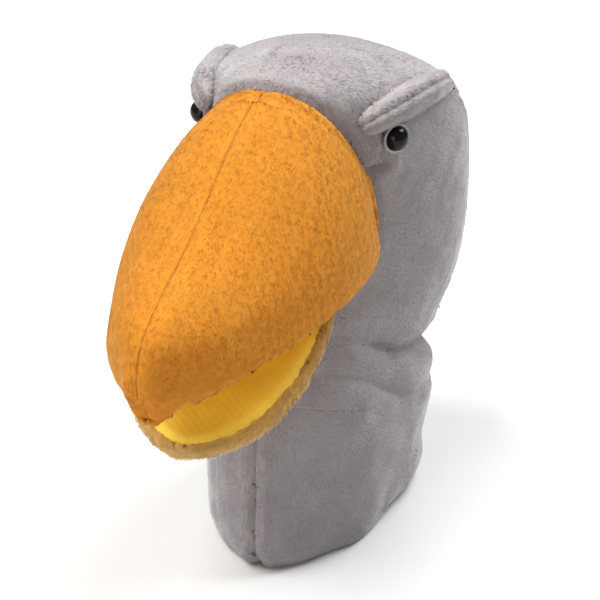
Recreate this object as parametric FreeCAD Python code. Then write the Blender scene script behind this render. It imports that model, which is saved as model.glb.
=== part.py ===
import FreeCAD, Part
import math
import os

from FreeCAD import Vector

# A plush hand puppet: a big-billed bird's head on a sleeve that a hand fills.
# Millimetres. Z is up, the bill points along -Y, X is across, and the hem stands on Z = 0.

# Cloth and filling
PLUSH = 3.0  # pile and backing of the grey plush
BILL_PLUSH = 2.5  # pile and backing of the bill's plush
TRICOT = 1.0  # yellow mouth cloth and white lining
BOARD = 1.6  # foam board that stiffens the mouth
POCKET_CLOTH = 0.8
EASE = 0.15  # air between neighbouring layers
SEAM_OVERLAP = 4.0  # how far the head's cloth reaches in round the bill's base

# Neck: the crease is a sloping plane, and cloth between the two offsets bends
CREASE = ((-86, 127), (49, 74))  # y and z of its front and back
CREASE_DROP = 32.0  # the sleeve's stiff part ends this far below the crease
CREASE_RISE = 14.0  # the head's stiff part starts this far above it
BAND_GAP = 0.4

# Mouth: the jaw turns about a line across X, and its rear is cut on a slope to clear the throat
MOUTH_AXIS = (-68.0, 163.2)  # y and z
JAW_REAR = ((-72.5, 165), (-88.5, 147))

# Eyes: a 12 mm safety eye on a white disc
EYE_AT = Vector(48.4, -42.1, 219)
EYE_YAW = 37.0  # degrees forward of straight sideways
EYE_R = 6.0
EYE_HEIGHT = 5.0
DISC_R = 7.0
DISC_THICK = 0.8
STEM_R = 1.6
STEM_LENGTH = 14.0
WASHER_R = 8.0
WASHER_THICK = 2.2
WASHER_DROP = 4.0  # below the inside of the plush, which curves away from the flat washer

# Brow flaps: padded leaves that stand out of the crown seam
BROW_INNER = Vector(38.5, -58, 229.7)
BROW_OUTER = Vector(53, 19, 226.3)
BROW_OUT = Vector(0.683, -0.314, 0.659)
BROW_REACH = 15.5
BROW_THICK = 11.0
BROW_COVER = 2.6

# Each station is a section through two points of the middle plane: (y, z) at the front or top,
# (y, z) at the back or bottom, and half the width. The sleeve adds how full its front is on the
# -X side, where it slumps outwards, and the head adds how far back it is widest.
SLEEVE = [
    ((-96.5, 0), (47, 0), 50, 1.75),
    ((-99, 5), (49.5, 5), 53, 1.8),
    ((-99.5, 30), (51, 24), 54.5, 2.1),
    ((-97, 62), (52, 42), 56.5, 2.25),
    ((-95, 92), (52, 58), 57, 2.1),
    ((-90, 114), (50.5, 68), 54.5, 1.8),
    ((-86, 127), (49, 74), 51.5, 1.7),
]
SLEEVE_START = ((-93.5, -3), (45, -3), 48, 1.75)  # below the hem, so that the inside is open
HEAD = [
    ((-86, 127), (49, 74), 51.5, 0.6),
    ((-79, 137), (57, 82), 56, 0.6),
    ((-70, 150), (64, 97), 60.5, 0.6),
    ((-68, 166), (69.5, 122), 65, 0.6),
    ((-72, 188), (72, 154), 67, 0.61),
    ((-78, 212), (70, 184), 66, 0.63),
    ((-82, 231), (63, 209), 62.5, 0.67),
    ((-82, 244), (48, 226), 54, 0.71),
    ((-74, 251), (30, 238.5), 38.5, 0.69),
    ((-60, 255.5), (8, 247.5), 22, 0.63),
    ((-45, 257.2), (-12, 252.7), 9, 0.6),
]
BILL = [
    ((-60, 244), (-44, 136), 44),
    ((-80, 249), (-62, 134), 50),
    ((-98, 245), (-82, 138), 52),
    ((-122, 234), (-108, 142), 51),
    ((-148, 218), (-136, 144), 45.5),
    ((-174, 205), (-163, 146), 36),
    ((-196, 195), (-184, 147), 24.5),
    ((-208, 184), (-195, 148), 13),
    ((-211.5, 172), (-200, 147), 7),
    ((-208, 160), (-201.5, 146), 3.5),
]
JAW = [
    ((-71, 167), (-75, 149), 33),
    ((-86, 161.5), (-90, 143), 36.5),
    ((-108, 154), (-113, 135.5), 39.5),
    ((-130, 146.5), (-135, 129.5), 39.5),
    ((-147, 140.5), (-151, 125), 36),
    ((-160, 136), (-164, 122), 30),
    ((-170, 132.5), (-173, 120.5), 21.5),
    ((-176.5, 129.5), (-178.5, 119.5), 12),
    ((-180, 127), (-180.5, 121), 5),
]
# Roof and floor of the open mouth, as (y, z) points of a smooth line in the middle plane
PALATE = [
    (-40, 165), (-100, 165), (-150, 164.5), (-172, 162.5),
    (-187, 159.5), (-196, 155), (-201, 149.5), (-203.5, 144),
]
TONGUE = [(-60, 166.5), (-75, 161), (-110, 150), (-140, 140.5), (-165, 132.5), (-186, 126)]

# Spaces for the hand
HAND_LOW = (-38, -60, 100)
HAND_HIGH = (38, 24, 204)
FINGER_HALF = 29.0
FINGER_TIP_Y = -158.0
FINGER_HEIGHT = 22.0
THUMB_HALF = 15.0
THUMB_TIP_Y = -124.0
THUMB_HEIGHT = 6.0

RING_POINTS = 28
FAR = 400.0


def ring(station, widest, front_power, back_power, inset=0.0, right_power=None):
    """A smooth closed section. widest is the share of its length, from the front, where it is widest."""
    front, back, half_width = station[:3]
    a, b = Vector(0, *front), Vector(0, *back)
    length = (b - a).Length
    along = (b - a) * (1 / length)
    middle = a + along * (length * widest)
    points = []
    for k in range(RING_POINTS):
        angle = 2 * math.pi * k / RING_POINTS
        c, s = math.cos(angle), math.sin(angle)
        power = front_power if c > 0 else back_power
        if right_power and c > 0 and s < 0:
            power = right_power
        reach = (length * widest if c > 0 else length * (1 - widest)) - inset
        u = reach * math.copysign(abs(c) ** (2 / power), c)
        x = (half_width - inset) * math.copysign(abs(s) ** (2 / power), s)
        points.append(middle - along * u + Vector(x, 0, 0))
    curve = Part.BSplineCurve()
    curve.interpolate(Points=points, PeriodicFlag=True)
    return Part.Wire([curve.toShape()])


def loft(rings):
    solid = Part.makeLoft(rings, True, False)
    if solid.Volume < 0:
        solid.reverse()
    return solid


def sleeve_form(inset=0.0):
    stations = SLEEVE if inset <= 0 else [SLEEVE_START] + SLEEVE[1:]
    return loft([ring(s, 0.62, 1.7, 2.2, inset, s[3]) for s in stations])


def head_form(inset=0.0):
    stations = HEAD if inset <= 0 else HEAD[:-1]
    return loft([ring(s, s[3], 1.7, 2.3, inset) for s in stations])


def bill_form(inset=0.0):
    stations = BILL if inset < 2 else BILL[:-2]
    return loft([ring(s, 0.66, 1.9, 2.4, inset) for s in stations])


def jaw_form(inset=0.0):
    stations = JAW if inset < 2 else JAW[:-1]
    return loft([ring(s, 0.5, 2.4, 2.4, inset) for s in stations])


def block(low, high):
    return Part.makeBox(high[0] - low[0], high[1] - low[1], high[2] - low[2], Vector(*low))


def round_block(low, high, radius):
    box = block(low, high)
    return box.makeFillet(radius, box.Edges)


def above(line, rise=0.0, up=True):
    """Everything above, or below, a smooth line of the middle plane that is moved up by rise."""
    points = [Vector(-FAR / 2, y, z + rise) for y, z in line]
    curve = Part.BSplineCurve()
    curve.interpolate(points)
    first, last = points[0], points[-1]
    edge_z = FAR if up else -FAR
    ahead = [Vector(last.x, -FAR, last.z), Vector(last.x, -FAR, edge_z)]
    corners = [last] + ahead + [Vector(first.x, first.y, edge_z), first]
    edges = [curve.toShape()] + [Part.makeLine(p, q) for p, q in zip(corners, corners[1:])]
    return Part.Face(Part.Wire(edges)).extrude(Vector(FAR, 0, 0))


def below(line, rise=0.0):
    return above(line, rise, False)


def half_space(front, back, offset, up):
    """The half space above, or below, the plane through two points of the middle plane."""
    a, b = Vector(0, *front), Vector(0, *back)
    slope = math.degrees(math.atan2(b.z - a.z, b.y - a.y))
    box = Part.makeBox(2 * FAR, 2 * FAR, 2 * FAR, Vector(-FAR, -FAR, offset if up else offset - 2 * FAR))
    box.rotate(Vector(0, 0, 0), Vector(1, 0, 0), slope)
    box.translate((a + b) * 0.5)
    return box


def above_crease(offset):
    return half_space(*CREASE, offset, True)


def below_crease(offset):
    return half_space(*CREASE, offset, False)


def mirrored(shape):
    return shape.mirror(Vector(0, 0, 0), Vector(1, 0, 0))


def right_side():
    return block((0, -FAR, -FAR), (FAR, FAR, FAR))


def save(shape, name):
    solids = [s for s in shape.Solids if s.Volume > 1.0]
    made = solids[0] if len(solids) == 1 else Part.makeCompound(solids)
    made.exportStep(f"parts/{name}.step")
    print(name, "solids", len(solids), "volume", round(made.Volume), "valid", made.isValid())


def save_pair(shape, name):
    """Saves the half at +X, which is the bird's left, and its mirror image."""
    half = shape.common(right_side())
    save(half, f"{name}_left")
    save(mirrored(half), f"{name}_right")


def layer(form, outer, inner):
    """The cloth between two insets of one form."""
    return form(outer).cut(form(inner))


def brow_frame():
    along = (BROW_OUTER - BROW_INNER).normalize()
    out = Vector(BROW_OUT) - along * BROW_OUT.dot(along)
    out.normalize()
    return along, out, along.cross(out)


def leaf(half_length, reach, half_thick):
    """A padded leaf centred on the brow's base line, as a stretched ball."""
    along, out, normal = brow_frame()
    middle = (BROW_INNER + BROW_OUTER) * 0.5
    turn = FreeCAD.Matrix(
        along.x * half_length, out.x * reach, normal.x * half_thick, middle.x,
        along.y * half_length, out.y * reach, normal.y * half_thick, middle.y,
        along.z * half_length, out.z * reach, normal.z * half_thick, middle.z,
        0, 0, 0, 1,
    )
    return Part.makeSphere(1.0).transformGeometry(turn)


def eye_axis():
    yaw = math.radians(EYE_YAW)
    return Vector(math.cos(yaw), -math.sin(yaw), 0)


def eye_rod(radius, start, length):
    """A round piece on the eye's axis. start is measured outwards from the plush."""
    axis = eye_axis()
    return Part.makeCylinder(radius, length, EYE_AT + axis * start, axis)


def make_eye():
    axis = eye_axis()
    ball_r = (EYE_R**2 + EYE_HEIGHT**2) / (2 * EYE_HEIGHT)
    ball = Part.makeSphere(ball_r, EYE_AT + axis * (DISC_THICK + EYE_HEIGHT - ball_r))
    dome = ball.common(eye_rod(EYE_R, DISC_THICK, EYE_HEIGHT + 1))
    stem = eye_rod(STEM_R, DISC_THICK - STEM_LENGTH, STEM_LENGTH + 1)
    return dome.fuse(stem)


def make_sleeve():
    stiff = below_crease(-CREASE_DROP)
    cloth = layer(sleeve_form, 0, PLUSH).common(stiff)
    save(cloth.common(right_side()), "neck_panel_left")
    save(cloth.cut(right_side()), "neck_panel_right")
    lining = layer(sleeve_form, PLUSH + EASE, PLUSH + EASE + TRICOT)
    low_edge = block((-FAR, -FAR, 16), (FAR, FAR, FAR))
    save(lining.common(stiff).common(low_edge), "sleeve_lining")
    turned = layer(sleeve_form, PLUSH + EASE, PLUSH + EASE + PLUSH * 0.8)
    save(turned.common(block((-FAR, -FAR, 0.6), (FAR, FAR, 15.6))), "hem_facing")


def make_neck():
    lower = layer(sleeve_form, 0, PLUSH).common(above_crease(-CREASE_DROP + BAND_GAP))
    lower = lower.common(below_crease(-12))
    save(lower, "neck_band_lower")
    upper = layer(sleeve_form, 0, PLUSH).common(above_crease(-12 + BAND_GAP)).common(below_crease(-BAND_GAP))
    save(upper, "neck_band_upper")
    throat = layer(head_form, 0, PLUSH).common(above_crease(BAND_GAP))
    throat = throat.common(below_crease(CREASE_RISE - BAND_GAP))
    save(throat, "throat_band")
    inner = PLUSH + EASE
    lining = layer(sleeve_form, inner, inner + TRICOT).common(above_crease(-CREASE_DROP + BAND_GAP))
    save(lining.common(below_crease(-BAND_GAP)), "neck_lining")


def gusset_tool():
    """The crown and the back of the head, between two seams that spread towards the back."""
    def half_width(y):
        return BROW_INNER.x + 4 + 0.188 * (y - BROW_INNER.y)

    def wedge(y0, y1, z0, z1):
        corners = [(-half_width(y0), y0), (half_width(y0), y0), (half_width(y1), y1), (-half_width(y1), y1)]
        points = [Vector(x, y, z0) for x, y in corners + corners[:1]]
        return Part.Face(Part.makePolygon(points)).extrude(Vector(0, 0, z1 - z0))

    return wedge(-100, 90, 207, 300).fuse(wedge(24, 90, 0, 207))


def make_head(bill_hole):
    stiff = above_crease(CREASE_RISE)
    cloth = layer(head_form, 0, PLUSH).common(stiff).cut(bill_hole)
    cloth = cloth.cut(block((-21, -90, 145), (21, -50, 161)))
    eye_seat = eye_rod(DISC_R + 0.2, 0, 12).fuse(eye_rod(STEM_R + 0.1, -12, 14))
    cloth = cloth.cut(eye_seat).cut(mirrored(eye_seat))
    tool = gusset_tool()
    save(cloth.common(tool), "crown_gusset")
    save_pair(cloth.cut(tool), "head_side")

    skin = head_form(-EASE)
    half = BROW_OUTER.distanceToPoint(BROW_INNER) / 2 + 3
    leaf_outer = leaf(half, BROW_REACH, BROW_THICK / 2)
    leaf_inner = leaf(half - BROW_COVER, BROW_REACH - BROW_COVER, BROW_THICK / 2 - BROW_COVER)
    flap = leaf_outer.cut(leaf_inner).cut(skin)
    save(flap, "brow_flap_left")
    save(mirrored(flap), "brow_flap_right")
    filling = leaf(half - BROW_COVER - 0.4, BROW_REACH - BROW_COVER - 0.4, BROW_THICK / 2 - BROW_COVER - 0.3)
    filling = filling.cut(head_form(-0.4))
    save(filling, "brow_filling_left")
    save(mirrored(filling), "brow_filling_right")

    hand = block(HAND_LOW, HAND_HIGH)
    tunnel_low = (HAND_LOW[0] - POCKET_CLOTH, HAND_LOW[1], HAND_LOW[2])
    tunnel_high = (HAND_HIGH[0] + POCKET_CLOTH, HAND_HIGH[1] + POCKET_CLOTH, HAND_HIGH[2] + POCKET_CLOTH)
    tunnel = block(tunnel_low, tunnel_high).cut(hand)
    save(tunnel.common(above_crease(CREASE_RISE + 1)).common(head_form(PLUSH + 1)), "hand_tunnel")

    fill = head_form(PLUSH + 2 * EASE).common(above_crease(CREASE_RISE + 1))
    room = block((-40, -FAR, 0), (40, 26, 206))
    washer_room = eye_rod(WASHER_R + 1, -12, 12).fuse(eye_rod(STEM_R + 0.5, -15, 6))
    fill = fill.cut(room).cut(washer_room).cut(mirrored(washer_room))
    fill = fill.cut(bill_form(-0.4).common(above(PALATE, -2)).common(block((-FAR, -FAR, 0), (FAR, -56, FAR))))
    split = 206
    crown = fill.common(block((-FAR, -FAR, split + 0.2), (FAR, FAR, FAR)))
    save(crown, "crown_stuffing")
    rest = fill.common(block((-FAR, -FAR, 0), (FAR, FAR, split - 0.2)))
    back = rest.common(block((-FAR, 26, 0), (FAR, FAR, FAR)))
    save(back, "back_stuffing")
    cheeks = rest.common(block((-FAR, -56, 0), (FAR, 25.6, FAR)))
    save_pair(cheeks, "cheek_stuffing")

    eye = make_eye()
    disc = eye_rod(DISC_R, 0, DISC_THICK).cut(eye_rod(STEM_R + 0.05, -1, 4))
    washer = eye_rod(WASHER_R, -PLUSH - WASHER_DROP - WASHER_THICK, WASHER_THICK)
    washer = washer.cut(eye_rod(STEM_R + 0.05, -13, 14))
    for shape, name in ((eye, "eye"), (disc, "eye_disc"), (washer, "eye_washer")):
        save(shape, f"{name}_left")
        save(mirrored(shape), f"{name}_right")


def make_bill(skin):
    cloth = layer(bill_form, 0, BILL_PLUSH).common(above(PALATE, TRICOT + EASE)).cut(skin)
    save_pair(cloth, "bill_panel")
    roof = bill_form(0).common(above(PALATE)).common(below(PALATE, TRICOT)).cut(skin)
    save(roof, "palate_lining")
    inside = bill_form(SEAM_OVERLAP + 2 * EASE).common(block((-FAR, -FAR, 0), (FAR, -60.5, FAR)))
    board_low = TRICOT + 2 * EASE
    board = inside.common(above(PALATE, board_low)).common(below(PALATE, board_low + BOARD))
    save(board.common(block((-FAR, -190, 0), (FAR, -60.5, FAR))), "palate_board")

    floor_z = 165 + board_low + BOARD + 3 * EASE
    low = (-FINGER_HALF, FINGER_TIP_Y, floor_z)
    high = (FINGER_HALF, -30, floor_z + FINGER_HEIGHT)
    pocket = round_block(low, high, 6)
    c = POCKET_CLOTH
    room = round_block([v + c for v in low], (high[0] - c, high[1], high[2] - c), 5.2)
    front_only = block((-FAR, -FAR, 0), (FAR, -61, FAR))
    save(pocket.cut(room).common(front_only), "finger_pocket")
    stuffing = inside.common(above(PALATE, board_low + BOARD + EASE)).cut(pocket)
    gap = round_block([v - EASE for v in low], [v + EASE for v in high], 6)
    save(stuffing.cut(gap), "bill_stuffing")


def make_jaw():
    ahead = half_space(*JAW_REAR, 0, False)
    form = jaw_form(0).common(ahead)
    cloth = form.cut(jaw_form(BILL_PLUSH)).common(below(TONGUE, -TRICOT - EASE))
    save(cloth, "jaw_panel")
    floor = form.common(below(TONGUE)).common(above(TONGUE, -TRICOT))
    save(floor, "jaw_lining")
    inside = jaw_form(BILL_PLUSH + 2 * EASE).common(ahead)
    board_top = -TRICOT - 2 * EASE
    board = inside.common(below(TONGUE, board_top)).common(above(TONGUE, board_top - BOARD))
    save(board, "jaw_board")

    slope = math.degrees(math.atan2(161 - 131.5, -75 + 168))
    top = -TRICOT - BOARD - 4.5 * EASE
    reach = (MOUTH_AXIS[0] - THUMB_TIP_Y) / math.cos(math.radians(slope))
    c = POCKET_CLOTH

    def placed(shape):
        shape.rotate(Vector(0, 0, 0), Vector(1, 0, 0), slope)
        shape.translate(Vector(0, *MOUTH_AXIS))
        return shape

    low = (-THUMB_HALF, -reach, top - THUMB_HEIGHT)
    high = (THUMB_HALF, 20, top)
    pocket = placed(round_block(low, high, 2.6))
    room = placed(round_block([v + c for v in low], (high[0] - c, high[1], high[2] - c), 1.9))
    gap = placed(round_block([v - EASE for v in low], [v + EASE for v in high], 2.6))
    save(pocket.cut(room).common(ahead), "thumb_pocket")
    stuffing = inside.common(below(TONGUE, board_top - BOARD - EASE)).cut(gap)
    save(stuffing, "jaw_stuffing")


def make_fold():
    """The yellow cloth at the back of the mouth, which creases as the jaw turns."""
    strip = block((-32, -73.2, 162.4), (32, -69.8, 165.5))
    save(strip.cut(head_form(-EASE)).common(below(PALATE, -EASE)), "mouth_fold")


os.makedirs("parts", exist_ok=True)
make_sleeve()
make_neck()
make_head(bill_form(SEAM_OVERLAP).common(above(PALATE, TRICOT + EASE)))
make_bill(head_form(-EASE))
make_jaw()
make_fold()
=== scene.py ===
import math
import bmesh
import bpy
import numpy as np
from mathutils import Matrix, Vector
from mathutils.bvhtree import BVHTree
from mathutils.kdtree import KDTree


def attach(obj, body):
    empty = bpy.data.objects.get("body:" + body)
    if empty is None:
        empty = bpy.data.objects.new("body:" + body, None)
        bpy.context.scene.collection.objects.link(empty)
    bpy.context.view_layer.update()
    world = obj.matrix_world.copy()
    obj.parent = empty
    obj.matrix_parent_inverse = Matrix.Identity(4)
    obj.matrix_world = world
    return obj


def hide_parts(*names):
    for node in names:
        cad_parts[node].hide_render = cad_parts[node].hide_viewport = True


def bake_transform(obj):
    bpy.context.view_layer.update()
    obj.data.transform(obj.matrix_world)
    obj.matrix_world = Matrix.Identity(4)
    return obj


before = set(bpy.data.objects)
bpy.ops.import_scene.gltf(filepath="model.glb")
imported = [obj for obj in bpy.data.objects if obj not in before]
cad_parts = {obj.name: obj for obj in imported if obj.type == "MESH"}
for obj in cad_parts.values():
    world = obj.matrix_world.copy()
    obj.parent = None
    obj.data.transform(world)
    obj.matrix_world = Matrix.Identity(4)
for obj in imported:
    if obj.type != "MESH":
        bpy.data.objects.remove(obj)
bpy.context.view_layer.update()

print("frame loaded")

mm = 0.001
headSoft = ["crown_gusset", "head_side_left", "head_side_right", "throat_band",
            "crown_stuffing", "back_stuffing", "cheek_stuffing_left", "cheek_stuffing_right"]
billSoft = ["bill_panel_left", "bill_panel_right", "bill_stuffing"]
neckSoft = ["neck_panel_left", "neck_panel_right", "neck_band_lower", "neck_band_upper"]

# Camera, lights and floor.
studio = {
    "azimuth": 21.0, "elevation": 28.0, "distance": 0.7, "target": (0, -0.038, 0.1243),
    "lens": 84.0, "sensor": 36.0,
    "keyWatts": 212.0, "fillWatts": 28.0, "topWatts": 178.0, "worldStrength": 0.20,
    "floorTone": (0.66, 0.66, 0.66), "floorSize": 30.0,
}


def lookAt(thing, target):
    away = Vector(target) - thing.location
    thing.rotation_euler = away.to_track_quat("-Z", "Y").to_euler()


def areaLight(name, place, size, watts, tone=(1, 1, 1)):
    lamp = bpy.data.lights.new(name, "AREA")
    lamp.shape = "DISK"
    lamp.size = size
    lamp.energy = watts
    lamp.color = tone
    holder = bpy.data.objects.new(name, lamp)
    bpy.context.collection.objects.link(holder)
    holder.location = place
    lookAt(holder, studio["target"])


def makeStudio():
    turn = math.radians(studio["azimuth"])
    lift = math.radians(studio["elevation"])
    back = Vector((math.sin(turn) * math.cos(lift), -math.cos(turn) * math.cos(lift), math.sin(lift)))
    camera = bpy.data.objects.new("camera", bpy.data.cameras.new("camera"))
    bpy.context.collection.objects.link(camera)
    camera.data.lens = studio["lens"]
    camera.data.sensor_width = studio["sensor"]
    camera.location = Vector(studio["target"]) + back * studio["distance"]
    lookAt(camera, studio["target"])
    bpy.context.scene.camera = camera
    areaLight("keyLight", (-1.3, -1.2, 3.5), 2.6, studio["keyWatts"], (1, 0.985, 0.96))
    areaLight("fillLight", (-0.4, -3.3, 1.0), 2.0, studio["fillWatts"], (0.95, 0.97, 1))
    areaLight("topLight", (1.2, 1.6, 3.0), 2.6, studio["topWatts"], (0.96, 0.98, 1))
    bpy.context.scene.view_settings.view_transform = "Standard"
    world = bpy.data.worlds.new("paleRoom")
    world.use_nodes = True
    world.node_tree.nodes["Background"].inputs["Color"].default_value = (1, 1, 1, 1)
    world.node_tree.nodes["Background"].inputs["Strength"].default_value = studio["worldStrength"]
    bpy.context.scene.world = world
    clearSelection()
    bpy.ops.mesh.primitive_plane_add(size=studio["floorSize"], location=(0, 0, 0))
    floor = bpy.context.active_object
    floor.name = "floor"
    paint = bpy.data.materials.new("paleFloor")
    paint.use_nodes = True
    shader = paint.node_tree.nodes["Principled BSDF"]
    shader.inputs["Base Color"].default_value = (*studio["floorTone"], 1)
    shader.inputs["Roughness"].default_value = 0.9
    floor.data.materials.append(paint)


# Small tools.
def clearSelection():
    if bpy.context.mode != "OBJECT":
        bpy.ops.object.mode_set(mode="OBJECT")
    for thing in list(bpy.context.selected_objects):
        thing.select_set(False)


def activate(piece):
    clearSelection()
    piece.select_set(True)
    bpy.context.view_layer.objects.active = piece


def copyNodes(nodeNames, pieceName):
    twins = []
    for nodeName in nodeNames:
        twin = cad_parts[nodeName].copy()
        twin.data = twin.data.copy()
        twin.parent = None
        for key in list(twin.keys()):
            del twin[key]
        bpy.context.collection.objects.link(twin)
        twins.append(twin)
    activate(twins[0])
    for twin in twins:
        twin.select_set(True)
    if len(twins) > 1:
        bpy.ops.object.join()
    piece = bpy.context.active_object
    piece.name = pieceName
    piece.data.name = pieceName
    piece.data.materials.clear()
    bpy.ops.object.mode_set(mode="EDIT")
    bpy.ops.mesh.select_all(action="SELECT")
    bpy.ops.mesh.remove_doubles(threshold=0.00001)
    bpy.ops.object.mode_set(mode="OBJECT")
    return piece


def addModifier(piece, kind, **settings):
    activate(piece)
    modifier = piece.modifiers.new(kind.lower(), kind)
    for key, value in settings.items():
        setattr(modifier, key, value)
    bpy.ops.object.modifier_apply(modifier=modifier.name)


def voxelSkin(piece, size):
    addModifier(piece, "REMESH", mode="VOXEL", voxel_size=size, adaptivity=0)
    activate(piece)
    bpy.ops.mesh.separate(type="LOOSE")
    parts = [piece] + [o for o in bpy.context.selected_objects if o is not piece]
    parts.sort(key=lambda o: -len(o.data.vertices))
    for extra in parts[1:]:
        bpy.data.objects.remove(extra)
    return parts[0]


def points(piece):
    co = np.zeros(len(piece.data.vertices) * 3)
    piece.data.vertices.foreach_get("co", co)
    return co.reshape(-1, 3)


def setPoints(piece, co):
    piece.data.vertices.foreach_set("co", np.asarray(co, np.float32).ravel())
    piece.data.update()


def vertexNormals(piece):
    out = np.zeros(len(piece.data.vertices) * 3)
    piece.data.vertex_normals.foreach_get("vector", out)
    return out.reshape(-1, 3)


def surfaceOf(nodeNames):
    corners, faces, start = [], [], 0
    for nodeName in nodeNames:
        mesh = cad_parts[nodeName].data
        corners += [v.co.copy() for v in mesh.vertices]
        faces += [[start + i for i in p.vertices] for p in mesh.polygons]
        start += len(mesh.vertices)
    return BVHTree.FromPolygons(corners, faces)


def skinOf(piece):
    mesh = piece.data
    corners = [v.co.copy() for v in mesh.vertices]
    return BVHTree.FromPolygons(corners, [list(f.vertices) for f in mesh.polygons])


def distances(tree, co):
    return np.array([tree.find_nearest(Vector(p))[3] for p in co])


def cutAlong(piece, rule):
    mesh = bmesh.new()
    mesh.from_mesh(piece.data)
    bmesh.ops.triangulate(mesh, faces=mesh.faces[:])
    mesh.verts.ensure_lookup_table()
    values = rule(np.array([v.co for v in mesh.verts]))
    value = {v: float(x) for v, x in zip(mesh.verts, values)}
    fresh = set()
    for edge in list(mesh.edges):
        a, b = edge.verts
        x, y = value[a], value[b]
        if (x < 0) != (y < 0):
            share = min(0.94, max(0.06, x / (x - y)))
            made = bmesh.utils.edge_split(edge, a, share)[1]
            value[made] = 0
            fresh.add(made)
    for face in list(mesh.faces):
        ends = [v for v in face.verts if v in fresh]
        if len(ends) == 2 and not any(e.other_vert(ends[0]) is ends[1] for e in ends[0].link_edges):
            bmesh.utils.face_split(face, ends[0], ends[1])
    bmesh.ops.triangulate(mesh, faces=mesh.faces[:])
    mesh.to_mesh(piece.data)
    mesh.free()


def faceCentres(piece):
    out = np.zeros(len(piece.data.polygons) * 3)
    piece.data.polygons.foreach_get("center", out)
    return out.reshape(-1, 3)


def pieceOf(source, keep, name):
    twin = source.copy()
    twin.data = source.data.copy()
    twin.name = name
    twin.data.name = name
    bpy.context.collection.objects.link(twin)
    wholeNormals = vertexNormals(source)
    mesh = bmesh.new()
    mesh.from_mesh(twin.data)
    tag = mesh.verts.layers.int.new("origin")
    for i, vert in enumerate(mesh.verts):
        vert[tag] = i
    mesh.faces.ensure_lookup_table()
    bmesh.ops.delete(mesh, geom=[mesh.faces[i] for i in np.nonzero(~keep)[0]], context="FACES")
    origin = [v[tag] for v in mesh.verts]
    mesh.to_mesh(twin.data)
    mesh.free()
    twin.data.attributes.remove(twin.data.attributes["origin"])
    twin.data.shade_smooth()
    twin.data.normals_split_custom_set_from_vertices(wholeNormals[origin])
    return twin


def waves(co, scale, seed, count=7):
    draw = np.random.default_rng(seed)
    way = draw.normal(size=(count, 3))
    way *= (2 * math.pi / scale) / np.linalg.norm(way, axis=1)[:, None] * draw.uniform(0.7, 1.4, (count, 1))
    shift = draw.uniform(0, 2 * math.pi, count)
    return np.sin(co @ way.T + shift).sum(1) / math.sqrt(count / 2)


# Materials.
def newMaterial(name):
    paint = bpy.data.materials.new(name)
    paint.use_nodes = True
    tree = paint.node_tree
    return paint, tree, tree.nodes["Principled BSDF"]


def noiseNode(tree, scale, detail=3.0, roughness=0.55):
    place = tree.nodes.new("ShaderNodeTexCoord")
    noise = tree.nodes.new("ShaderNodeTexNoise")
    noise.inputs["Scale"].default_value = scale
    noise.inputs["Detail"].default_value = detail
    noise.inputs["Roughness"].default_value = roughness
    tree.links.new(place.outputs["Object"], noise.inputs["Vector"])
    return noise


def rampNode(tree, source, low, high, start=0.35, end=0.65):
    ramp = tree.nodes.new("ShaderNodeValToRGB")
    ramp.color_ramp.elements[0].position = start
    ramp.color_ramp.elements[1].position = end
    ramp.color_ramp.elements[0].color = (*low, 1)
    ramp.color_ramp.elements[1].color = (*high, 1)
    tree.links.new(source, ramp.inputs["Fac"])
    return ramp


def bumpNode(tree, shader, source, strength, depth):
    bump = tree.nodes.new("ShaderNodeBump")
    bump.inputs["Strength"].default_value = strength
    bump.inputs["Distance"].default_value = depth
    tree.links.new(source, bump.inputs["Height"])
    tree.links.new(bump.outputs["Normal"], shader.inputs["Normal"])


def roughnessFrom(tree, shader, source, low, high):
    spread = tree.nodes.new("ShaderNodeMapRange")
    spread.inputs["To Min"].default_value = low
    spread.inputs["To Max"].default_value = high
    tree.links.new(source, spread.inputs["Value"])
    tree.links.new(spread.outputs["Result"], shader.inputs["Roughness"])


def plushBase(name, deep, light, sheenTone, sheen):
    paint, tree, shader = newMaterial(name)
    clumps = noiseNode(tree, 170, 4, 0.6)
    broad = noiseNode(tree, 28, 2)
    mix = tree.nodes.new("ShaderNodeMath")
    mix.operation = "MULTIPLY_ADD"
    mix.inputs[1].default_value = 0.6
    tree.links.new(clumps.outputs["Fac"], mix.inputs[0])
    share = tree.nodes.new("ShaderNodeMath")
    share.operation = "MULTIPLY"
    share.inputs[1].default_value = 0.4
    tree.links.new(broad.outputs["Fac"], share.inputs[0])
    tree.links.new(share.outputs["Value"], mix.inputs[2])
    ramp = rampNode(tree, mix.outputs["Value"], deep, light)
    tree.links.new(ramp.outputs["Color"], shader.inputs["Base Color"])
    roughnessFrom(tree, shader, clumps.outputs["Fac"], 0.82, 0.98)
    bumpNode(tree, shader, clumps.outputs["Fac"], 0.15, 0.0006)
    shader.inputs["Sheen Weight"].default_value = sheen
    shader.inputs["Sheen Roughness"].default_value = 0.4
    shader.inputs["Sheen Tint"].default_value = (*sheenTone, 1)
    shader.inputs["Specular IOR Level"].default_value = 0.1
    return paint


def pilePaints(name, tones, sheenTone, sheen):
    paints = []
    for i, tone in enumerate(tones):
        paint, tree, shader = newMaterial(f"{name}Pile{i + 1}")
        shader.inputs["Base Color"].default_value = (*tone, 1)
        streaks = noiseNode(tree, 900, 2)
        roughnessFrom(tree, shader, streaks.outputs["Fac"], 0.6, 0.9)
        shader.inputs["Sheen Weight"].default_value = sheen
        shader.inputs["Sheen Roughness"].default_value = 0.4
        shader.inputs["Sheen Tint"].default_value = (*sheenTone, 1)
        shader.inputs["Specular IOR Level"].default_value = 0.12
        paints.append(paint)
    return paints


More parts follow.
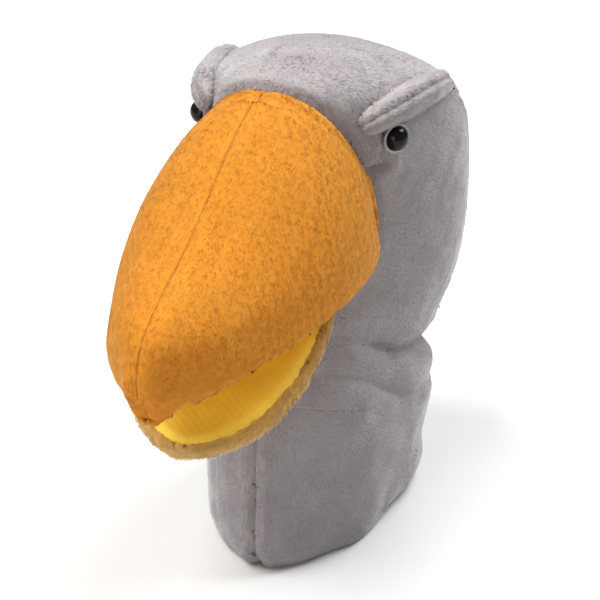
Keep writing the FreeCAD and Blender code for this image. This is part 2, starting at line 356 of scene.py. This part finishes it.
def clothPaint(name, deep, light, weave=2600, sheen=0.15, roughness=(0.62, 0.85)):
    paint, tree, shader = newMaterial(name)
    place = tree.nodes.new("ShaderNodeTexCoord")
    threads = tree.nodes.new("ShaderNodeTexWave")
    threads.wave_type = "BANDS"
    threads.bands_direction = "DIAGONAL"
    threads.inputs["Scale"].default_value = weave / 20
    threads.inputs["Distortion"].default_value = 1.5
    threads.inputs["Detail"].default_value = 2
    tree.links.new(place.outputs["Object"], threads.inputs["Vector"])
    broad = noiseNode(tree, 40, 4)
    ramp = rampNode(tree, broad.outputs["Fac"], deep, light)
    tree.links.new(ramp.outputs["Color"], shader.inputs["Base Color"])
    roughnessFrom(tree, shader, threads.outputs["Fac"], *roughness)
    bumpNode(tree, shader, threads.outputs["Fac"], 0.25, 0.0003)
    shader.inputs["Sheen Weight"].default_value = sheen
    shader.inputs["Specular IOR Level"].default_value = 0.3
    return paint


def tones(base, spread, count=6):
    return [tuple(min(1.0, c * (1 + spread * (i / (count - 1) * 2 - 1))) for c in base) for i in range(count)]


# Pile: short ribbons laid over the skin.
# Lengths are in metres and lean in degrees from upright. The tints are moved with height: lighter and
# yellower higher up as painted light, deeper orange lower down as painted shade.
fibres = {
    "perSquareMm": 3.4, "most": 65000, "length": 0.0023, "width": 0.00034, "lean": 66, "curl": 0.45,
    "root": 0.0004, "drift": 0.18, "wander": 0.14, "streak": 0.3, "twist": 0.35,
    "paintedLightByHeight": 0, "paintedLightMiddle": 0.19, "seamPaintedShade": 2.6, "seamShort": 0.45, "seamReach": 0.0021,
    "clumpScale": 0.0048, "lowest": 0.0003,
}
# On the bill the tints move lighter and yellower higher up, as painted light, and deeper orange lower down,
# as painted shade.
billPile = {
    "length": 0.0021, "width": 0.00032, "lean": 73, "curl": 0.12, "drift": 0.06, "wander": 0.10,
    "streak": 0.22, "twist": 0.1, "paintedLightByHeight": 34, "seamPaintedShade": 0.9, "seamShort": 0.15,
}
jawPile = {"length": 0.0026, "lean": 55}
browPile = {"length": 0.0026, "lean": 57}


def scatterRoots(piece, keep, draw):
    mesh = piece.data
    mesh.calc_loop_triangles()
    corner = np.zeros(len(mesh.loop_triangles) * 3, np.int32)
    mesh.loop_triangles.foreach_get("vertices", corner)
    owner = np.zeros(len(mesh.loop_triangles), np.int32)
    mesh.loop_triangles.foreach_get("polygon_index", owner)
    corner = corner.reshape(-1, 3)[keep[owner]]
    co = points(piece)
    a, b, c = co[corner[:, 0]], co[corner[:, 1]], co[corner[:, 2]]
    area = np.linalg.norm(np.cross(b - a, c - a), axis=1) / 2
    count = min(fibres["most"], int(area.sum() * 1e6 * fibres["perSquareMm"]))
    pick = draw.choice(len(area), count, p=area / area.sum())
    u, v = draw.random(count), draw.random(count)
    flip = u + v > 1
    u[flip], v[flip] = 1 - u[flip], 1 - v[flip]
    return corner[pick], np.stack([1 - u - v, u, v], 1)


def blended(values, corner, share):
    parts = values[corner]
    if parts.ndim == 3:
        share = share[:, :, None]
    return (parts * share).sum(1)


def lengthen(way):
    return way / (np.linalg.norm(way, axis=1)[:, None] + 1e-9)


def ribbonMesh(name, block, tint, paints, normals):
    count = len(tint)
    made = bpy.data.meshes.new(name)
    made.vertices.add(count * 5)
    made.vertices.foreach_set("co", block.astype(np.float32).ravel())
    first = np.arange(count)[:, None] * 5
    quads = first + np.array([0, 1, 3, 2])
    spikes = first + np.array([2, 3, 4])
    loops = np.concatenate([quads, spikes], 1).ravel()
    made.loops.add(len(loops))
    made.loops.foreach_set("vertex_index", loops.astype(np.int32))
    made.polygons.add(count * 2)
    starts = np.stack([np.arange(count) * 7, np.arange(count) * 7 + 4], 1).ravel()
    made.polygons.foreach_set("loop_start", starts.astype(np.int32))
    made.polygons.foreach_set("material_index", np.repeat(tint, 2))
    made.update(calc_edges=True)
    made.validate()
    for paint in paints:
        made.materials.append(paint)
    made.shade_smooth()
    made.normals_split_custom_set_from_vertices(np.repeat(normals, 5, axis=0))
    pile = bpy.data.objects.new(name, made)
    bpy.context.collection.objects.link(pile)
    print(name, count, "fibres")
    return pile


def growPile(piece, keep, name, paints, nap, seed, seamTree, **changes):
    kind = {**fibres, **changes}
    draw = np.random.default_rng(seed)
    corner, share = scatterRoots(piece, keep, draw)
    count = len(corner)
    co = points(piece)
    root = blended(co, corner, share)
    up = blended(vertexNormals(piece), corner, share)
    up /= np.linalg.norm(up, axis=1)[:, None]

    # The way that each fibre leans: the nap, drifting slowly, with some fibres astray.
    drift = np.stack([waves(root, 0.016, 40 + k) + 0.4 * waves(root, 0.005, 50 + k) for k in range(3)], 1)
    way = nap(root) + kind["drift"] * drift + draw.normal(0, kind["wander"], (count, 3))
    way = lengthen(way - (way * up).sum(1)[:, None] * up)
    clump = waves(root, kind["clumpScale"], 60)
    angle = np.radians(kind["lean"] + 3 * clump + draw.normal(0, 5, count))
    reach = kind["length"] * (1 + 0.05 * clump + draw.normal(0, 0.12, count))

    # Fibres are shorter down in a seam, and darker there as painted shade.
    gap = np.full(len(co), 1.0)
    for i in np.unique(corner):
        gap[i] = seamTree.find(Vector(co[i]))[2]
    near = np.exp(-(blended(gap, corner, share) / kind["seamReach"]) ** 2)
    reach *= 1 - kind["seamShort"] * near

    rise = np.cos(angle)[:, None] * up + np.sin(angle)[:, None] * way
    bent = angle + kind["curl"] * draw.uniform(0.1, 0.8, count)
    tipWay = np.cos(bent)[:, None] * up + np.sin(bent)[:, None] * way
    side = lengthen(np.cross(rise, up))
    side = lengthen(side + kind["twist"] * draw.normal(0, 1, count)[:, None] * np.cross(side, rise))
    half = side * (kind["width"] / 2 * draw.uniform(0.75, 1.2, count)[:, None])
    base = root - up * kind["root"]
    middle = base + rise * (reach * 0.55)[:, None]
    tip = middle + tipWay * (reach * 0.45)[:, None]
    for part in (middle, tip):
        part[:, 2] = np.maximum(part[:, 2], kind["lowest"])
    block = np.stack([base - half, base + half, middle - half * 0.85, middle + half * 0.85, tip], 1)

    tint = (waves(root, 0.022, 70) * 0.28 + draw.normal(0, kind["streak"], count) + 0.5) * len(paints) / 2
    # Near a seam the tint moves darker, as painted shade.
    tint += len(paints) / 4 - kind["seamPaintedShade"] * near + kind["paintedLightByHeight"] * (root[:, 2] - kind["paintedLightMiddle"])
    tint = np.clip(tint, 0, len(paints) - 1).astype(np.int32)
    normals = up * 0.9 + rise * 0.2
    return ribbonMesh(name, block, tint, paints, normals / np.linalg.norm(normals, axis=1)[:, None])


# The forms under the cloth.
shape = {
    "voxel": 0.0025, "smoothing": 8, "plushWall": 0.0022, "clothWall": 0.0009, "hemHeight": 0.0012,
    "bandPlanes": (-0.032, -0.012, 0.0, 0.014), "neckFront": -0.104, "mouthBack": -0.03,
    "bandBendY": -0.092, "bandBend": 2.5,
    "plugs": [(["hem_facing"], 1), (["sleeve_lining"], 1), (["neck_lining"], 1), (["hand_tunnel"], 1),
              (["finger_pocket"], 1), (["throat_band"], 0.96), (["neck_band_upper"], 0.96),
              (["crown_stuffing", "back_stuffing", "cheek_stuffing_left", "cheek_stuffing_right"], 0.97)],
    "seamDepth": 0.0023, "seamWidth": 0.0025, "ridgeDepth": 0.0011, "ridgeWidth": 0.003,
}
creaseNormal = np.array((0, 0.365, 0.931))
creaseMiddle = np.array((0, -0.0185, 0.1005))

# The cloth's settings, the pressure inside it, and how far it may move.
puffing = {
    "pressure": 3.0, "cap": 0.0022, "shrink": 0.0005, "frames": 20, "smoothing": 4, "holdReach": 0.005,
    "quality": 4, "mass": 0.25, "stretch": 12, "shear": 6, "bending": 0.6, "damping": 3, "pin": 2,
}


def alongNeck(co):
    return (co - creaseMiddle) @ creaseNormal


def neckOnly(co):
    return co[:, 1] > shape["neckFront"]


def bandHeight(co):
    return alongNeck(co) + shape["bandBend"] * np.maximum(0, shape["bandBendY"] - co[:, 1])


def smoothForm(piece, repeat, factor=0.5):
    addModifier(piece, "SMOOTH", factor=factor, iterations=repeat)


def makeUpperForm():
    form = copyNodes(headSoft + billSoft + neckSoft + ["sleeve_lining", "hem_facing", "neck_lining",
                     "hand_tunnel", "palate_lining", "palate_board", "finger_pocket"], "upperForm")
    plugs = []
    # Plugs fill the hollows, so that the remesh leaves only the outer skin.
    for nodeNames, size in shape["plugs"]:
        plug = copyNodes(nodeNames, "plug")
        bpy.ops.object.mode_set(mode="EDIT")
        bpy.ops.mesh.select_all(action="SELECT")
        bpy.ops.mesh.convex_hull()
        bpy.ops.object.mode_set(mode="OBJECT")
        co = points(plug)
        middle = (co.min(0) + co.max(0)) / 2
        setPoints(plug, middle + (co - middle) * size)
        plugs.append(plug)
    activate(form)
    for plug in plugs:
        plug.select_set(True)
    bpy.ops.object.join()
    form = voxelSkin(form, shape["voxel"])
    smoothForm(form, shape["smoothing"])
    return form


def treeOf(seams):
    tree = KDTree(len(seams))
    for i, p in enumerate(seams):
        tree.insert(Vector(p), i)
    tree.balance()
    return tree


def puff(piece, held):
    start = points(piece)
    cap = puffing["cap"]
    group = piece.vertex_groups.new(name="held")
    for level in range(1, 11):
        some = np.nonzero((held > (level - 0.5) / 10) & (held <= (level + 0.5) / 10))[0]
        group.add([int(i) for i in some], level / 10, "REPLACE")
    activate(piece)
    cloth = piece.modifiers.new("cloth", "CLOTH")
    cloth.settings.quality = puffing["quality"]
    cloth.settings.mass = puffing["mass"]
    cloth.settings.tension_stiffness = puffing["stretch"]
    cloth.settings.compression_stiffness = puffing["stretch"]
    cloth.settings.shear_stiffness = puffing["shear"]
    cloth.settings.bending_stiffness = puffing["bending"]
    cloth.settings.air_damping = puffing["damping"]
    cloth.settings.use_pressure = True
    cloth.settings.uniform_pressure_force = puffing["pressure"]
    cloth.settings.effector_weights.gravity = 0
    cloth.settings.vertex_group_mass = "held"
    cloth.settings.pin_stiffness = puffing["pin"]
    cloth.collision_settings.use_collision = False
    cloth.collision_settings.use_self_collision = False
    scene = bpy.context.scene
    for step in range(1, puffing["frames"] + 1):
        scene.frame_set(step)
    bpy.ops.object.modifier_apply(modifier=cloth.name)
    scene.frame_set(1)
    move = points(piece) - start
    size = np.linalg.norm(move, axis=1)
    setPoints(piece, start + move * (cap * np.tanh(size / cap) / np.maximum(size, 1e-9))[:, None])
    piece.vertex_groups.clear()
    print(piece.name, "puffed by up to", round(float(size.max()) * 1000, 1), "mm, capped at", cap * 1000)


def seamValley(piece, tree, depth, width):
    co, up = points(piece), vertexNormals(piece)
    gap = np.array([tree.find(Vector(p))[2] for p in co])
    valley = np.exp(-(gap / width) ** 2)
    shoulder = np.exp(-((gap - width * 2.3) / (width * 1.2)) ** 2)
    drop = depth * (valley - 0.28 * shoulder)
    setPoints(piece, co - up * drop[:, None])


def borderPoints(piece, label, pairs=None):
    mesh = bmesh.new()
    mesh.from_mesh(piece.data)
    found = []
    for edge in mesh.edges:
        if len(edge.link_faces) == 2:
            a, b = (int(label[f.index]) for f in edge.link_faces)
            if a != b and (pairs is None or (min(a, b), max(a, b)) in pairs):
                found.append((edge.verts[0].co + edge.verts[1].co) / 2)
                found.append(edge.verts[0].co.copy())
    mesh.free()
    return np.array([list(p) for p in found])


# Colours, in linear light.
sheens = {"grey": (0.85, 0.84, 0.88), "orange": (1, 0.7, 0.25), "tan": (1, 0.8, 0.5)}
greyBase = plushBase("greyPlush", (0.20, 0.178, 0.180), (0.29, 0.262, 0.263), sheens["grey"], 0.55)
orangeBase = plushBase("orangePlush", (0.47, 0.165, 0.014), (0.50, 0.195, 0.02), sheens["orange"], 0.25)
tanBase = plushBase("tanPlush", (0.44, 0.24, 0.06), (0.60, 0.37, 0.12), sheens["tan"], 0.4)
orangeTones = [(0.49 + 0.003 * i, 0.142 + 0.018 * i, 0.007 + 0.0045 * i) for i in range(6)]
greyPile = pilePaints("grey", tones((0.315, 0.284, 0.284), 0.12), sheens["grey"], 0.55)
orangePile = pilePaints("orange", orangeTones, sheens["orange"], 0.3)
tanPile = pilePaints("tan", tones((0.64, 0.40, 0.145), 0.16), sheens["tan"], 0.4)
yellowCloth = clothPaint("yellowCloth", (0.76, 0.48, 0.045), (0.88, 0.58, 0.06))
whiteCloth = clothPaint("whiteLining", (0.62, 0.61, 0.58), (0.74, 0.73, 0.70))

# Head, bill and sleeve skin. The crease is the fold at the top of the neck, with a second one below it.
folds = {
    "sag": 0.0010, "sagScale": 0.06, "ripple": 0.0002, "rippleScale": 0.02,
    "fadeHeight": 0.02, "fade": 0.006, "frontFade": 0.004,
    "creaseDepth": 0.0034, "creaseWidth": 0.0042, "rimDistance": 0.010, "rimWidth": 0.006, "rimShare": 0.35,
    "secondDepth": 0.0019, "secondPlace": -0.021, "secondWidth": 0.0035,
    "secondSide": 0.004, "secondFade": 0.014,
    "ridgeRise": 0.0026, "ridgeWidth": 0.012, "ridgeBack": -0.09,
}
billTree = surfaceOf(["bill_panel_left", "bill_panel_right"])
greyTree = surfaceOf(headSoft[:4] + neckSoft)
gussetTree = surfaceOf(["crown_gusset"])
sideTree = surfaceOf(["head_side_left", "head_side_right"])
palateTree = surfaceOf(["palate_lining", "palate_board"])
plushTree = surfaceOf(["bill_panel_left", "bill_panel_right", "head_side_left", "head_side_right",
                       "throat_band"])


def foldCloth(piece):
    co, up = points(piece), vertexNormals(piece)
    s = alongNeck(co)
    behind = 1 / (1 + np.exp(-(co[:, 1] - shape["bandBendY"]) / folds["frontFade"]))
    neck = 1 / (1 + np.exp((s - folds["fadeHeight"]) / folds["fade"])) * behind
    soft = folds["sag"] * waves(co, folds["sagScale"], 5)
    soft += folds["ripple"] * waves(co, folds["rippleScale"], 6)
    wander = 0.0025 * np.sin(co[:, 0] / 0.019 + 1) + 0.002 * np.sin(co[:, 1] / 0.013)
    depth = folds["creaseDepth"] * (0.75 + 0.25 * np.sin(co[:, 1] / 0.021 + 2))
    crease = -depth * np.exp(-((s - wander) / folds["creaseWidth"]) ** 2)
    above = np.exp(-((s - wander - folds["rimDistance"]) / folds["rimWidth"]) ** 2)
    under = np.exp(-((s - wander + folds["rimDistance"]) / folds["rimWidth"]) ** 2)
    crease += folds["rimShare"] * depth * (above + under)
    second = np.exp(-((s - folds["secondPlace"] - wander * 2) / folds["secondWidth"]) ** 2)
    oneSide = 0.5 + 0.5 * np.tanh((co[:, 0] - folds["secondSide"]) / folds["secondFade"])
    crease = (crease - folds["secondDepth"] * second * oneSide) * behind
    onBill = (co[:, 1] < folds["ridgeBack"]) & (up[:, 2] > -0.2)
    ridge = folds["ridgeRise"] * np.exp(-np.abs(co[:, 0]) / folds["ridgeWidth"]) * onBill
    setPoints(piece, co + up * (neck * soft + crease + ridge)[:, None])


def heldAt(co):
    reach = puffing["holdReach"]
    held = np.exp(-(billOrGrey(co) / reach) ** 2)
    held = np.maximum(held, np.exp(-(gussetOrSide(co) / reach) ** 2))
    onPalate = distances(palateTree, co) < distances(plushTree, co) + 0.003
    held = np.maximum(held, onPalate * (co[:, 1] < shape["mouthBack"]))
    held = np.maximum(held, np.exp(-(co[:, 2] / 0.01) ** 2))
    sleeveSeam = neckOnly(co) & (alongNeck(co) < shape["bandPlanes"][3]) & (np.abs(co[:, 0]) < 0.004)
    return np.maximum(held, sleeveSeam)


# Each rule is below 0 on one side of a seam and above 0 on the other.
def billOrGrey(co):
    return distances(billTree, co) - distances(greyTree, co)


def palateOrPlush(co):
    return distances(palateTree, co) - distances(plushTree, co)


def gussetOrSide(co):
    return distances(gussetTree, co) - distances(sideTree, co)


def gussetSeam(co):
    return np.where((alongNeck(co) > shape["bandPlanes"][3] - 0.0001) & neckOnly(co), gussetOrSide(co), 1)


def middleSeam(co):
    onNeck = (alongNeck(co) < shape["bandPlanes"][3] + 0.0001) & neckOnly(co)
    return np.where(onNeck | (distances(billTree, co) < 0.003), co[:, 0], 1)


def cutSeams(piece):
    cutAlong(piece, lambda co: co[:, 2] - shape["hemHeight"])
    for plane in shape["bandPlanes"]:
        cutAlong(piece, lambda co: bandHeight(co) - plane)
    for rule in (billOrGrey, palateOrPlush):
        cutAlong(piece, lambda co: np.where(co[:, 1] < shape["mouthBack"], rule(co), 1))
    cutAlong(piece, gussetSeam)
    cutAlong(piece, middleSeam)


# Label: piece, the body it rides on or the two it lies between (then it is left unattached), what it stands
# for.
upperPieces = {
    1: ("sleevePanelLeft", "sleeve", ["neck_panel_left"]),
    2: ("sleevePanelRight", "sleeve", ["neck_panel_right"]),
    3: ("neckBandLower", ("sleeve", "neck_lower"), ["neck_band_lower"]),
    4: ("neckBandMiddle", ("neck_lower", "neck_upper"), ["neck_band_upper"]),
    5: ("neckBandUpper", ("neck_upper", "head"), ["throat_band"]),
    6: ("crownGusset", "head", ["crown_gusset", "crown_stuffing", "back_stuffing"]),
    7: ("headSideLeft", "head", ["head_side_left", "cheek_stuffing_left"]),
    8: ("headSideRight", "head", ["head_side_right", "cheek_stuffing_right"]),
    9: ("billPanelLeft", "head", ["bill_panel_left", "bill_stuffing"]),
    10: ("billPanelRight", "head", ["bill_panel_right"]),
    11: ("palateCloth", "head", ["palate_lining", "palate_board"]),
}
sewnPairs = {(1, 2), (6, 7), (6, 8), (6, 9), (6, 10), (7, 9), (8, 10), (9, 11), (10, 11)}
ridgePair = {(9, 10)}


def labelFaces(piece):
    co = faceCentres(piece)
    s = bandHeight(co)
    left = co[:, 0] > 0
    label = np.full(len(co), 0)
    low, start, crease, top = shape["bandPlanes"]
    label[s < low] = np.where(left, 1, 2)[s < low]
    label[(s >= low) & (s < start)] = 3
    label[(s >= start) & (s < crease)] = 4
    label[(s >= crease) & (s < top)] = 5
    head = s >= top
    bill = head & (billOrGrey(co) < 0) & (co[:, 1] < shape["mouthBack"])
    palate = head & (palateOrPlush(co) < 0) & (co[:, 1] < shape["mouthBack"])
    label[head] = np.where(gussetOrSide(co) < 0, 6, np.where(left, 7, 8))[head]
    label[bill] = np.where(left, 9, 10)[bill]
    label[palate] = 11
    label[co[:, 2] < shape["hemHeight"]] = 0
    return label


def headNap(co):
    return lengthen(np.tile((0, 0.55, -1.0), (len(co), 1)))


def billNap(co):
    ahead = np.tile((0, -0.55, -1.0), (len(co), 1))
    ahead[:, 0] = -0.25 * np.sign(co[:, 0])
    return lengthen(ahead)


def settle(piece, body, nodes=()):
    if isinstance(body, str):
        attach(piece, body)
    else:
        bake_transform(piece)
    if nodes:
        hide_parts(*nodes)


def makeUpperPieces(form, label, seamTree):
    for number, (name, body, nodes) in upperPieces.items():
        keep = label == number
        piece = pieceOf(form, keep, name)
        if number == 11:
            paint, slotName, wall = yellowCloth, "yellow_cloth", shape["clothWall"]
        elif number in (9, 10):
            paint, slotName, wall = orangeBase, "orange_plush", shape["plushWall"]
            pile = growPile(form, keep, name + "_pile", orangePile, billNap, 100 + number, seamTree,
                            **billPile)
            settle(pile, body)
        else:
            paint, slotName, wall = greyBase, "grey_plush", shape["plushWall"]
            pile = growPile(form, keep, name + "_pile", greyPile, headNap, 100 + number, seamTree)
            settle(pile, body)
        piece.data.materials.append(paint)
        addModifier(piece, "SOLIDIFY", thickness=wall, offset=-1)
        settle(piece, body, nodes)


# Linings inside the sleeve, each a copy of the skin moved inwards.
lining = {
    "depth": 0.0056, "facingDepth": 0.0034, "facingTop": 0.0156, "wall": 0.0008, "axisY": -0.024,
    "creaseExtra": 0.005, "creaseReach": 0.012,
}


def makeLining(form, name, keep, depth, paint, body, nodes):
    piece = pieceOf(form, keep, name)
    co = points(piece)
    inward = np.array([0, lining["axisY"], 0]) - co
    inward[:, 2] = 0
    deep = depth + lining["creaseExtra"] * np.exp(-(alongNeck(co) / lining["creaseReach"]) ** 2)
    setPoints(piece, co + lengthen(inward) * deep[:, None])
    piece.data.materials.append(paint)
    addModifier(piece, "SOLIDIFY", thickness=lining["wall"], offset=-1)
    settle(piece, body, nodes)


def makeLinings(form):
    middles = faceCentres(form)
    along = alongNeck(middles)
    low, crease = shape["bandPlanes"][0], shape["bandPlanes"][2]
    inSleeve = neckOnly(middles) & (middles[:, 2] > shape["hemHeight"]) & (along < crease)
    inFacing = inSleeve & (middles[:, 2] < lining["facingTop"])
    inStiff = inSleeve & ~inFacing & (along < low)
    inNeck = inSleeve & ~inFacing & ~inStiff
    makeLining(form, "hemFacing", inFacing, lining["facingDepth"], greyBase, "sleeve",
               ["hem_facing"])
    makeLining(form, "sleeveLining", inStiff, lining["depth"], whiteCloth, "sleeve",
               ["sleeve_lining"])
    makeLining(form, "neckLining", inNeck, lining["depth"], whiteCloth, ("sleeve", "neck_lower"),
               ["neck_lining"])


def makeUpperSkin():
    form = makeUpperForm()
    print("upper form", len(form.data.vertices), "points")
    held = heldAt(points(form))
    setPoints(form, points(form) - vertexNormals(form) * (puffing["shrink"] * (1 - held))[:, None])
    puff(form, held)
    smoothForm(form, puffing["smoothing"])
    foldCloth(form)
    cutSeams(form)
    print("folds laid and seams cut")
    label = labelFaces(form)
    sewn = borderPoints(form, label, sewnPairs)
    ridge = borderPoints(form, label, ridgePair)
    seamTree = treeOf(np.concatenate([sewn, ridge]))
    seamValley(form, treeOf(sewn), shape["seamDepth"], shape["seamWidth"])
    seamValley(form, treeOf(ridge), shape["ridgeDepth"], shape["ridgeWidth"])
    makeUpperPieces(form, label, seamTree)
    makeLinings(form)
    skin = skinOf(form)
    bpy.data.objects.remove(form)
    print("upper skin made")
    return skin


# Jaw.
jaw = {"voxel": 0.002, "smoothing": 6, "seamDepth": 0.0012, "seamWidth": 0.002, "fill": 0.6}


def makeJaw():
    nodes = ["jaw_panel", "jaw_lining", "jaw_board", "thumb_pocket", "jaw_stuffing"]
    form = voxelSkin(copyNodes(nodes, "jawForm"), jaw["voxel"])
    smoothForm(form, jaw["smoothing"])
    plush = surfaceOf(["jaw_panel"])
    lined = surfaceOf(["jaw_lining", "jaw_board"])
    cutAlong(form, lambda co: distances(lined, co) - distances(plush, co))
    centres = faceCentres(form)
    top = distances(lined, centres) < distances(plush, centres)
    seamTree = treeOf(borderPoints(form, top.astype(int)))
    seamValley(form, seamTree, jaw["seamDepth"], jaw["seamWidth"])
    panel = pieceOf(form, ~top, "jawPanel")
    panel.data.materials.append(tanBase)
    pile = growPile(form, ~top, "jawPanel_pile", tanPile, billNap, 301, seamTree, **jawPile)
    settle(pile, "jaw")
    addModifier(panel, "SOLIDIFY", thickness=shape["plushWall"], offset=-1)
    settle(panel, "jaw", ["jaw_panel", "jaw_stuffing"])
    cloth = pieceOf(form, top, "jawCloth")
    cloth.data.materials.append(yellowCloth)
    addModifier(cloth, "SOLIDIFY", thickness=shape["clothWall"], offset=-1)
    settle(cloth, "jaw", ["jaw_lining", "jaw_board"])
    skin = skinOf(form)
    bpy.data.objects.remove(form)
    print("jaw made")
    return skin


# Pockets and hand tunnel, kept under the skin by the margin, and the fold of the mouth.
inner = {
    "longestEdge": 0.006, "splits": 4, "ripple": 0.0008, "rippleScale": 0.035, "margin": 0.0042, "near": 0.02,
}


def tuckUnder(piece, skin):
    co = points(piece)
    moved = 0
    for i, p in enumerate(co):
        spot, up, index, gap = skin.find_nearest(Vector(p))
        inside = (spot - Vector(p)).dot(up)
        if inside < inner["margin"] and gap < inner["near"]:
            co[i] = spot - up * inner["margin"]
            moved += 1
    setPoints(piece, co)
    print(piece.name, "tucked", moved, "of", len(co), "points")


def innerCloth(nodeName, name, paint, skin, seed):
    piece = copyNodes([nodeName], name)
    mesh = bmesh.new()
    mesh.from_mesh(piece.data)
    bmesh.ops.triangulate(mesh, faces=mesh.faces[:])
    for step in range(inner["splits"]):
        long = [e for e in mesh.edges if e.calc_length() > inner["longestEdge"]]
        if long:
            bmesh.ops.subdivide_edges(mesh, edges=long, cuts=1)
            bmesh.ops.triangulate(mesh, faces=mesh.faces[:])
    mesh.to_mesh(piece.data)
    mesh.free()
    co = points(piece)
    shift = np.stack([waves(co, inner["rippleScale"], seed + k) for k in range(3)], 1)
    setPoints(piece, co + inner["ripple"] * shift)
    if skin is not None:
        tuckUnder(piece, skin)
    piece.data.shade_smooth()
    piece.data.materials.append(paint)
    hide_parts(nodeName)
    return piece


def makeInnerCloths(upperSkin, jawSkin):
    handTunnel = innerCloth("hand_tunnel", "handTunnel", whiteCloth, upperSkin, 500)
    fingerPocket = innerCloth("finger_pocket", "fingerPocket", whiteCloth, upperSkin, 510)
    thumbPocket = innerCloth("thumb_pocket", "thumbPocket", whiteCloth, jawSkin, 520)
    mouthFold = innerCloth("mouth_fold", "mouthFold", yellowCloth, None, 530)
    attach(handTunnel, "head")
    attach(fingerPocket, "head")
    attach(thumbPocket, "jaw")
    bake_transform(mouthFold)


# Brows. They run from inner to outer and stand out from the head by width.
brows = {
    "voxel": 0.0013, "smoothing": 6, "lastSmoothing": 3,
    "inner": (38.5, -58, 229.7), "outer": (53, 19, 226.3), "outward": (0.683, -0.314, 0.659),
    "width": 0.0155, "thicker": 0.55, "droop": 0.0032, "seamDepth": 0.0013, "seamWidth": 0.0018, "fill": 0.7,
}


def makeBrow(side, sign):
    nodes = [f"brow_flap_{side}", f"brow_filling_{side}"]
    form = voxelSkin(copyNodes(nodes, f"browForm_{side}"), brows["voxel"])
    smoothForm(form, brows["smoothing"])
    mirror = np.array([sign, 1, 1])
    start = np.array(brows["inner"]) * mirror
    outward = np.array(brows["outward"]) * mirror
    across = np.cross(np.array(brows["outer"]) * mirror - start, outward)
    start = start * mm
    across /= np.linalg.norm(across)
    if across[2] < 0:
        across = -across

    def share(co):
        return np.clip((co - start) @ (outward / np.linalg.norm(outward)) / brows["width"], 0, 1.2)

    def edgeHeight(co):
        return (co - start) @ across + brows["droop"] * across[2] * share(co) ** 2

    co = points(form)
    fall = brows["droop"] * share(co) ** 2
    co += across * ((co - start) @ across * brows["thicker"])[:, None]
    co[:, 2] -= fall
    setPoints(form, co)
    smoothForm(form, brows["lastSmoothing"])
    cutAlong(form, edgeHeight)
    upperHalf = edgeHeight(faceCentres(form)) > 0
    seamTree = treeOf(borderPoints(form, upperHalf.astype(int)))
    seamValley(form, seamTree, brows["seamDepth"], brows["seamWidth"])
    for half, keep, seed in (("Top", upperHalf, 410), ("Under", ~upperHalf, 400)):
        piece = pieceOf(form, keep, f"brow{half}{side.capitalize()}")
        piece.data.materials.append(greyBase)
        pile = growPile(form, keep, piece.name + "_pile", greyPile, headNap, seed + sign, seamTree,
                        **browPile)
        settle(pile, "head")
        settle(piece, "head", nodes if half == "Top" else ())
    bpy.data.objects.remove(form)


# Eyes and their inner parts keep their CAD shapes.
eye = {
    "deep": (0.004, 0.004, 0.004), "light": (0.009, 0.008, 0.008), "roughness": (0.06, 0.14), "shine": 0.16,
}


def finishEyes():
    black, tree, shader = newMaterial("eyeBlack")
    speck = noiseNode(tree, 300, 2)
    ramp = rampNode(tree, speck.outputs["Fac"], eye["deep"], eye["light"])
    tree.links.new(ramp.outputs["Color"], shader.inputs["Base Color"])
    roughnessFrom(tree, shader, speck.outputs["Fac"], *eye["roughness"])
    shader.inputs["Specular IOR Level"].default_value = eye["shine"]
    white = clothPaint("eyeWhite", (0.30, 0.29, 0.29), (0.38, 0.37, 0.37))
    washer = clothPaint("washerPlastic", (0.70, 0.70, 0.70), (0.80, 0.80, 0.80), sheen=0.0,
                        roughness=(0.35, 0.5))
    for partName, paint in (("eye", black), ("eye_disc", white), ("eye_washer", washer)):
        for side in ("left", "right"):
            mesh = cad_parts[f"{partName}_{side}"].data
            mesh.materials.clear()
            mesh.materials.append(paint)


makeStudio()
print("studio made")
upperSkin = makeUpperSkin()
jawSkin = makeJaw()
makeInnerCloths(upperSkin, jawSkin)
print("inner cloths made")
for side, sign in (("left", 1), ("right", -1)):
    makeBrow(side, sign)
print("brows made")
finishEyes()
